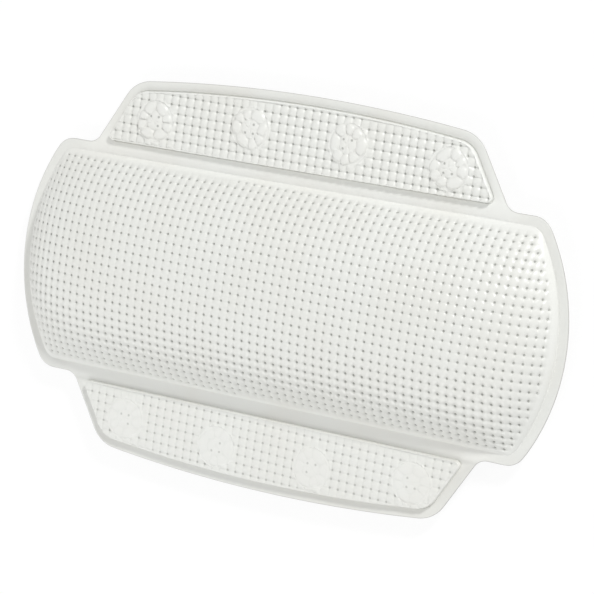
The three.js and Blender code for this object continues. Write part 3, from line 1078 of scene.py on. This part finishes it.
# How deep the eyes on each flap are, and how strongly they are painted with shade.
EYE_DEPTH_AND_SHADE = {"upper": 0.9, "lower": 0.55}
PRESSED_AT, PRESSED_DEPTH, PRESSED_WIDTH = 10.8, 0.22, 0.4
PULL, PULL_PHASE, REACH_PHASE = 0.2, 1.7, 2.3
# The whole flower is a touch greyer, and painted shade darkens the valleys between its petals.
FLOWER_TONE, VALLEY_SHADE = 0.03, {"upper": 0.12, "lower": 0.08}


def petals(r, angle, start, end, count):
    """A row of rounded lobes between two radii, 1 at their tops and 0 between them."""
    sector = 2 * ((angle * count / (2 * np.pi)) % 1) - 1
    along = (2 * r - start - end) / (end - start)
    return np.sqrt(np.clip(1 - np.abs(sector) ** PETAL_POWER - np.abs(along) ** PETAL_POWER, 0, 1))


def flower_relief(r, angle, number, side):
    """The height of a medallion at a place, and how far the place lies between the petals."""
    pulled = angle + PULL * math.sin(2 * angle + PULL_PHASE * number) + number
    reach = r * (1 + PULL / 3 * math.sin(3 * angle + REACH_PHASE * number))
    button = np.sqrt(np.clip(1 - (reach / BUTTON_REACH) ** PETAL_POWER, 0, 1))
    button *= BUTTON_SHARE + (1 - BUTTON_SHARE) * petals(reach, pulled + PULL, *INNER_ROW)
    raised = max(petals(reach, pulled, *OUTER_ROW), button)
    pressed = PRESSED_DEPTH * math.exp(-((r - PRESSED_AT) / PRESSED_WIDTH) ** 2)
    return float(PETAL_RISE[side] * raised - pressed), float(1 - raised) * (reach < OUTER_ROW[1])


def eye(x, y, number):
    """How near a place is to one of the pinholes left on a medallion, 1 on it and 0 away from it."""
    corner = 2 * (x > 0) + (y > 0)
    away = math.hypot(abs(x) - PITCH * EYE_SHARE, abs(y) - PITCH * EYE_SHARE)
    return 0 if corner == number or away > EYE_REACH else math.exp(-((away / EYE_WIDTH) ** 2))


print("the flowers rise", PETAL_RISE["upper"], "and", PETAL_RISE["lower"], "mm")

# %% [markdown]
# A line of vertices, spun about the middle of a flower, gives a mesh that is finest where the
# petals meet, and the formula lifts it. The photograph has the medallions a little to the right of
# the cups' middles, and a little below them.

# %% Spinning a medallion
MEDALLION_SHIFT = {"upper": Vector((2.0, -1.5)), "lower": Vector((-1.8, 0.6))}
FLOWER_RINGS, FLOWER_TURNS = 30, 108


def medallion_places(side):
    return [place + MEDALLION_SHIFT[side] for place in cup_places]


def spun(bm, line, centre, steps):
    """Joins a line of vertices and spins it once about the upright axis through a place."""
    edges = [bm.edges.new(pair) for pair in zip(line, line[1:])]
    turn = {"cent": (*centre, 0), "axis": (0, 0, 1), "angle": 2 * math.pi}
    bmesh.ops.spin(bm, geom=line + edges, steps=steps, use_merge=True, **turn)


def medallion(bm, layers, number, side, surface):
    """Spins a medallion into the mesh and returns the edges of its outer ring."""
    centre = medallion_places(side)[number]
    before = set(bm.verts)
    radii = [FLOWER_REACH * k / FLOWER_RINGS for k in range(FLOWER_RINGS + 1)]
    spun(bm, [bm.verts.new((centre.x + r, centre.y, 0)) for r in radii], centre, FLOWER_TURNS)
    verts = [v for v in bm.verts if v not in before]
    bmesh.ops.remove_doubles(bm, verts=verts, dist=MERGE / 10)
    verts = [v for v in verts if v.is_valid]
    for v in verts:
        x, y = v.co.xy - centre
        r = math.hypot(x, y)
        height, valley = flower_relief(r, math.atan2(y, x), number, side)
        near = eye(x, y, number)
        v.co.z = surface(v.co.x, v.co.y) + height - EYE_DEPTH * EYE_DEPTH_AND_SHADE[side] * near
        # Painted shade between the petals, over a slight grey of the whole flower.
        v[layers.shade_and_tone] = FLOWER_TONE + VALLEY_SHADE[side] * valley
        v[layers.cell] = (x / PITCH + EYE_SHARE, y / PITCH + EYE_SHARE, 0)
        v[layers.relief] = MERGE if r < FLOWER_REACH - MERGE else 0
        # Painted shade in the eyes.
        v[layers.pinhole] = EYE_DEPTH_AND_SHADE[side] if near else 0
    return open_edges(verts)


print("each medallion has", FLOWER_RINGS * FLOWER_TURNS, "faces")

# %% [markdown]
# A flap's front sheet carries a raised field of the same weave round its four medallions, puffed up
# a little by the pad under it. Both flaps are built as the upper one, and the lower one is turned
# half a turn. The rows of the weave lie differently on each, so each has its own origin and slant.

# %% The field of a flap
FLAP_WEAVES = {"upper": ((-63.81, 76.69), -0.0155), "lower": ((33.87, 98.05), -0.0271)}
FIELD_PUFF, PUFF_REACH = 0.35, 5.0


def flap_place(side):
    """Answers with the places of weave cells on a flap that is built as the upper one."""
    way = 1 if side == "upper" else -1
    return lambda a, b: slanted(a, b, *FLAP_WEAVES[side], way)


def woven_area(side):
    """Answers with the depth inside the field's top and outside its medallions, and the way inwards."""
    centres = medallion_places(side)

    def depth_at(x, y):
        depth, _, way = field_rim.nearest(x, y)
        best = depth - field_round
        for centre in centres:
            dx, dy = x - centre.x, y - centre.y
            r = max(math.hypot(dx, dy), MERGE)
            if r - FLOWER_REACH < best:
                best, way = r - FLOWER_REACH, (dx / r, dy / r)
        return best, way
    return depth_at


def clear_of_flowers(side):
    """Answers with the distances of points from the nearest medallion."""
    centres = medallion_places(side)

    def clearance(x, y):
        return np.min([np.hypot(x - c.x, y - c.y) for c in centres], axis=0) - FLOWER_REACH
    return clearance


def field_top(x, y):
    depth = field_rim.nearest(x, y)[0] - field_round
    return front_z + field_height + FIELD_PUFF * (1 - math.exp(-max(depth, 0) / PUFF_REACH))


slants = [round(math.degrees(slant), 2) for _, slant in FLAP_WEAVES.values()]
print("the weave is slanted on the flaps by", slants, "degrees")

# %% [markdown]
# The flat strip between the field and the cushion is the hinge. It is cut into fine rows, because
# it bends when the flap folds. The root of the lower field beside it would catch more light than it
# does in the photograph, so painted shade darkens its vinyl along that line.

# %% The hinge strip
HINGE_START, HINGE_END, HINGE_ROWS = 61.7, 66.7, 10
ROOT_SHADE, ROOT_REACH = {"upper": 0.0, "lower": 0.28}, 1.5


def shade_root(bm, side):
    """Paints shade on the front along the root of the field."""
    shade_and_tone = bm.verts.layers.float["shade_and_tone"]
    for v in bm.verts:
        near = math.exp(-(((v.co.y - field_root_y) / ROOT_REACH) ** 2))
        if v.co.z > weld_z:
            v[shade_and_tone] = max(v[shade_and_tone], ROOT_SHADE[side] * near)


def turn_lower(bm, side):
    """Turns a piece of the lower flap, which was built as the upper one, into place."""
    if side == "lower":
        bmesh.ops.rotate(bm, cent=(0, 0, 0), matrix=Matrix.Rotation(math.pi, 3, "Z"), verts=bm.verts)


def finished_flap(name, bm, material, side):
    """Cuts the hinge strip into rows, turns the lower flap into place and finishes the mesh."""
    for k in range(HINGE_ROWS + 1):
        y = HINGE_START + (HINGE_END - HINGE_START) * k / HINGE_ROWS
        near = [f for f in bm.faces if min(v.co.y for v in f.verts) < y < max(v.co.y for v in f.verts)]
        geom = near + list({e for f in near for e in f.edges}) + list({v for f in near for v in f.verts})
        bmesh.ops.bisect_plane(bm, geom=geom, dist=MERGE / 100, plane_co=(0, y, 0), plane_no=(0, 1, 0))
    shade_root(bm, side)
    turn_lower(bm, side)
    return finished(name, bm, material)


print("hinge rows every", (HINGE_END - HINGE_START) / HINGE_ROWS, "mm")

# %% [markdown]
# Now the front itself. The edge of the field is a quarter round on a short wall, with a pressed
# groove at its foot that is painted with shade. A medallion is bridged into each round hole of the
# weave, and a recess from behind leaves room for the foam pad.

# %% The front of a flap
FLAP_SPANS = {"upper": ((-14, 43), (-9, 6)), "lower": ((-25, 32), (-9, 6))}
FLAP_RELIEF, FLAP_HOLE = {"upper": 1.05, "lower": 0.65}, {"upper": 0.65, "lower": 0.5}
# Painted shade in the pressed groove at the foot of the field, fading on the ring beyond it.
WELD_GROOVE, WELD_SHADE = {"upper": 0.33, "lower": 0.18}, {"upper": 0.3, "lower": 0.12}
CEILING_DROP, ROUND_STEPS = 2.0, 3


def edge_loops(edges):
    """Edges sorted into their closed loops, the longest first."""
    left, loops = set(edges), []
    while left:
        loop, reach = [], [left.pop()]
        while reach:
            edge = reach.pop()
            loop.append(edge)
            near = [e for v in edge.verts for e in v.link_edges if e in left]
            left.difference_update(near)
            reach.extend(near)
        loops.append(loop)
    return sorted(loops, key=len, reverse=True)


def flap_front(side):
    bm = bmesh.new()
    layers = Layers(bm)
    place = flap_place(side)
    depth_at = woven_area(side)
    outer = patch(bm, layers, FLAP_SPANS[side], WOVEN_STOPS, place, depth_at)
    tops = lambda x, y, depth: np.array([field_top(px, py) for px, py in zip(x, y)])
    emboss(outer, layers, place, depth_at, tops, FLAP_RELIEF[side], FLAP_HOLE[side], clear_of_flowers(side))
    rim_edges, *holes = edge_loops(open_edges(outer))
    top = front_z + field_height
    rounds = quarter_round(ROUND_STEPS)[1:]
    rings = [(field_round * inward, top - field_round * down, 0) for inward, down in rounds]
    groove, shade_and_tone = WELD_GROOVE[side], WELD_SHADE[side]
    # The groove's rings are painted with shade.
    rings += [(0, front_z - groove, shade_and_tone), (-groove, front_z - groove, shade_and_tone)]
    rings += [(-2 * groove, front_z, shade_and_tone / 3), (-2 * groove - HOLD, front_z, 0)]
    foot = skirt(bm, layers, rim_edges, field_rim, rings, top)
    centres = medallion_places(side)
    for hole in holes:
        middle = sum((v.co.xy for e in hole for v in e.verts), Vector((0, 0))) / (2 * len(hole))
        number = min(range(len(centres)), key=lambda n: (centres[n] - middle).length)
        bridge(bm, hole, medallion(bm, layers, number, side, field_top))
    recess, ceiling = straight_wall(bm, field_outline(border + 2 * sheet), weld_z, top - CEILING_DROP)
    fill(bm, ceiling, 1)
    flat_sheet(bm, flap_sheet(), front_z, weld_z, foot, recess)
    shade_border(bm, layers, front_z)
    return finished_flap(f"{side}_flap_cover", bm, EMBOSSED, side)


flap_covers = {side: flap_front(side) for side in FLAP_WEAVES}

# %% [markdown]
# The back of a flap is one flat sheet with a hole for the neck of each cup. A raised ring round
# each hole shows where the press has welded the two sheets together.

# %% The back of a flap
NECK_RADIUS, NECK_CLEARANCE = 3.2, 0.15
WELD_RING, WELD_RING_WIDTH, WELD_RING_RISE = 10.2, 1.4, 0.25
RING_PROFILE = ((-0.5, 0), (-0.25, 1), (0.25, 1), (0.5, 0))
CUP_STEPS = 48


def circle(centre, radius):
    turns = [2 * math.pi * k / CUP_STEPS for k in range(CUP_STEPS)]
    return [centre + Vector((math.cos(t), math.sin(t))) * radius for t in turns]


def flap_back(side):
    bm = bmesh.new()
    Layers(bm)
    outer_holes, inner_holes = [], []
    for centre in cup_places:
        under, over = straight_wall(bm, circle(centre, NECK_RADIUS + NECK_CLEARANCE), back_z, weld_z)
        inner_holes += over
        levels = []
        for shift, rise in RING_PROFILE:
            ring = circle(centre, WELD_RING + 2 * WELD_RING_WIDTH * shift)
            levels.append((ring, back_z - WELD_RING_RISE * rise))
        first, last = wall(bm, levels)
        fill(bm, under + first, -1)
        outer_holes += last
    flat_sheet(bm, flap_sheet(), back_z, weld_z, outer_holes, inner_holes)
    return finished_flap(f"{side}_flap_back", bm, SMOOTH, side)


flap_backs = {side: flap_back(side) for side in FLAP_WEAVES}

# %% [markdown]
# Each flap has a thin foam pad in its field, with room for the discs that anchor the cups. It is
# made of straight walls, one round the pad and one round the room for each disc, and flat faces.

# %% The foam pads
ANCHOR_RADIUS, ANCHOR_TOP = 8.5, 0.8
PAD_CLEARANCE = 0.4


def flap_foam(side):
    bm = bmesh.new()
    Layers(bm)
    outline = field_outline(border + 2 * sheet + PAD_CLEARANCE)
    top = front_z + field_height - CEILING_DROP - PAD_CLEARANCE
    lower, upper = straight_wall(bm, outline, weld_z, top)
    fill(bm, upper, 1)
    room_top = weld_z + ANCHOR_TOP + PAD_CLEARANCE
    holes = []
    for centre in cup_places:
        room = circle(centre, ANCHOR_RADIUS + PAD_CLEARANCE)
        mouth, roof = straight_wall(bm, room, weld_z, room_top)
        fill(bm, roof, -1)
        holes += mouth
    fill(bm, lower + holes, -1)
    turn_lower(bm, side)
    return finished(f"{side}_flap_foam", bm, FOAM)


flap_foams = {side: flap_foam(side) for side in FLAP_WEAVES}

# %% [markdown]
# A suction cup is round, so it is a profile spun once about its axis: a thin lip, a shallow bell
# with its hollow, a neck with a shoulder under the sheet, and the anchor disc over it. Each corner
# of the profile has a radius, a height and a rounding, since moulded vinyl has no sharp edges.

# %% Suction cups
CUP_PROFILE = (
    (0, 3.2, 0), (5.4, 2.5, 5), (10.6, 0, 0.5), (12, 0, 0.2), (11.5, 1.1, 0.6), (7.6, 4.1, 4),
    (NECK_RADIUS, 5.3, 1.6), (NECK_RADIUS, 8.1, 0.3), (5, 8.1, 0.2), (5, 8.95, 0.1),
    (NECK_RADIUS, 8.95, 0), (NECK_RADIUS, 9.52, 0), (ANCHOR_RADIUS, 9.52, 0.1),
    (ANCHOR_RADIUS, 10.28, 0.3), (0, 10.28, 0),
)


def suction_cup(name, centre):
    bm = bmesh.new()
    line = [bm.verts.new((centre.x + max(r, 0), centre.y, z)) for r, z in rounded(CUP_PROFILE)]
    spun(bm, line, centre, CUP_STEPS)
    bmesh.ops.remove_doubles(bm, verts=bm.verts, dist=MERGE / 50)
    return finished(name, bm, CUPS)


cups = {}
for side in FLAP_WEAVES:
    for number, place in enumerate(cup_places, 1):
        centre = place if side == "upper" else -place
        cups[side, number] = suction_cup(f"{side}_cup_{number}", centre)

# %% [markdown]
# Every piece now joins the frame. The sheets of a flap bend at the hinge, so they are blended
# between the pillow and the flap. The foam pads and the cups ride on the flap alone. Each piece
# takes the place of the plain CAD node that it stands for.


def join(piece, body, slot, *nodes):
    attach(piece, body)
    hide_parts(*nodes)


join(cushion_cover, "pillow", "embossed_vinyl", "pillow_front_skin")
join(cushion_backing, "pillow", "smooth_vinyl", "pillow_back_skin")
join(cushion_foam, "pillow", "foam", "pillow_foam_core")
for side, way in (("upper", 1), ("lower", -1)):
    sheets = ((flap_covers[side], "embossed_vinyl", "front"), (flap_backs[side], "smooth_vinyl", "back"))
    for piece, slot, face in sheets:
        start, end = ((0, way * y * MM, weld_z * MM) for y in (HINGE_START, HINGE_END))
        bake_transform(piece, "pillow", f"{side}_flap", start=start, end=end)
        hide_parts(f"{side}_flap_{face}_skin")
    join(flap_foams[side], f"{side}_flap", "foam", f"{side}_flap_foam_pad")
    for number in range(1, cups_per_flap + 1):
        join(cups[side, number], f"{side}_flap", "cup_vinyl", f"{side}_suction_cup_{number}")

# %% [markdown]
# The stage is a pale floor under the pillow. The photograph's ground is pure white, so the camera
# sees the floor partly as a plain white, while the object still drops its shadow on it. The world
# is a soft white fill. Three lamps give the emboss its shape: a small strong one from the upper
# right, a large soft one from the left, and one from below, which reaches the channel that the
# cushion hides from the first. Each has a place, a size and a power. The stage is in metres.

# %% Floor and light
FLOOR_REACH = 4.0
FLOOR_WHITE = 0.82
FLOOR_GLOW, GLOW_STRENGTH = 0.85, 1.05
FILL_STRENGTH = 0.48
LAMPS = {
    "upper_softbox": ((1.26, 1.66, 1.17), 0.35, 33),
    "left_softbox": ((-1.92, -1.0, 1.0), 1.6, 12),
    "lower_softbox": ((-0.25, -1.75, 1.64), 1.0, 14.5),
}


def floor_finish():
    material, shader, wire = finish("floor", {"Roughness": 0.9, "Specular IOR Level": 0.1})
    shader.inputs["Base Color"].default_value = (FLOOR_WHITE, FLOOR_WHITE, FLOOR_WHITE, 1)
    glow = wire.node("Emission", {}, {"Color": (1, 1, 1, 1), "Strength": GLOW_STRENGTH})
    seen = wire.node("LightPath", output=0)
    surface = Wire(wire.tree, shader.outputs[0])
    mixed = wire.node("MixShader", {}, {0: seen * FLOOR_GLOW, 1: surface, 2: glow})
    wire.tree.links.new(mixed.socket, wire.tree.nodes["Material Output"].inputs["Surface"])
    return material


bm = bmesh.new()
bmesh.ops.create_grid(bm, x_segments=1, y_segments=1, size=FLOOR_REACH)
floor_mesh = bpy.data.meshes.new("floor")
bm.to_mesh(floor_mesh)
bm.free()
floor_mesh.materials.append(floor_finish())
floor = placed("floor", floor_mesh)

world = bpy.data.worlds.new("soft_room")
world.use_nodes = True
world.node_tree.nodes["Background"].inputs["Color"].default_value = (1, 1, 1, 1)
world.node_tree.nodes["Background"].inputs["Strength"].default_value = FILL_STRENGTH
bpy.context.scene.world = world

for name, (place, size, watts) in LAMPS.items():
    lamp = bpy.data.lights.new(name, "AREA")
    lamp.size, lamp.energy = size, watts
    softbox = placed(name, lamp)
    softbox.location = place
    softbox.rotation_euler = (-softbox.location).to_track_quat("-Z", "Y").to_euler()
    print(name, round(softbox.location.length, 2), "m away")
bpy.context.scene.view_settings.view_transform = "Standard"

# %% [markdown]
# The camera was worked out from the photograph: the welded outline and the rows of pinholes were
# matched to it, which gives the place, the three angles and the lens. It looks down from the
# front right, from more than a metre away.

# %% Camera
CAMERA_PLACE = (0.66454, 0.21352, 1.2234 + front_z * MM)
CAMERA_TILT, CAMERA_SWING, CAMERA_ROLL = -5.307, 28.930, 7.126
CAMERA_LENS, CAMERA_SENSOR = 161.525, 36

camera = placed("camera", bpy.data.cameras.new("camera"))
camera.data.lens = CAMERA_LENS
camera.data.sensor_width = CAMERA_SENSOR
camera.location = CAMERA_PLACE
camera.rotation_euler = [math.radians(a) for a in (CAMERA_TILT, CAMERA_SWING, CAMERA_ROLL)]
bpy.context.scene.camera = camera
print("camera", round(camera.location.length, 2), "m from the pillow's middle")
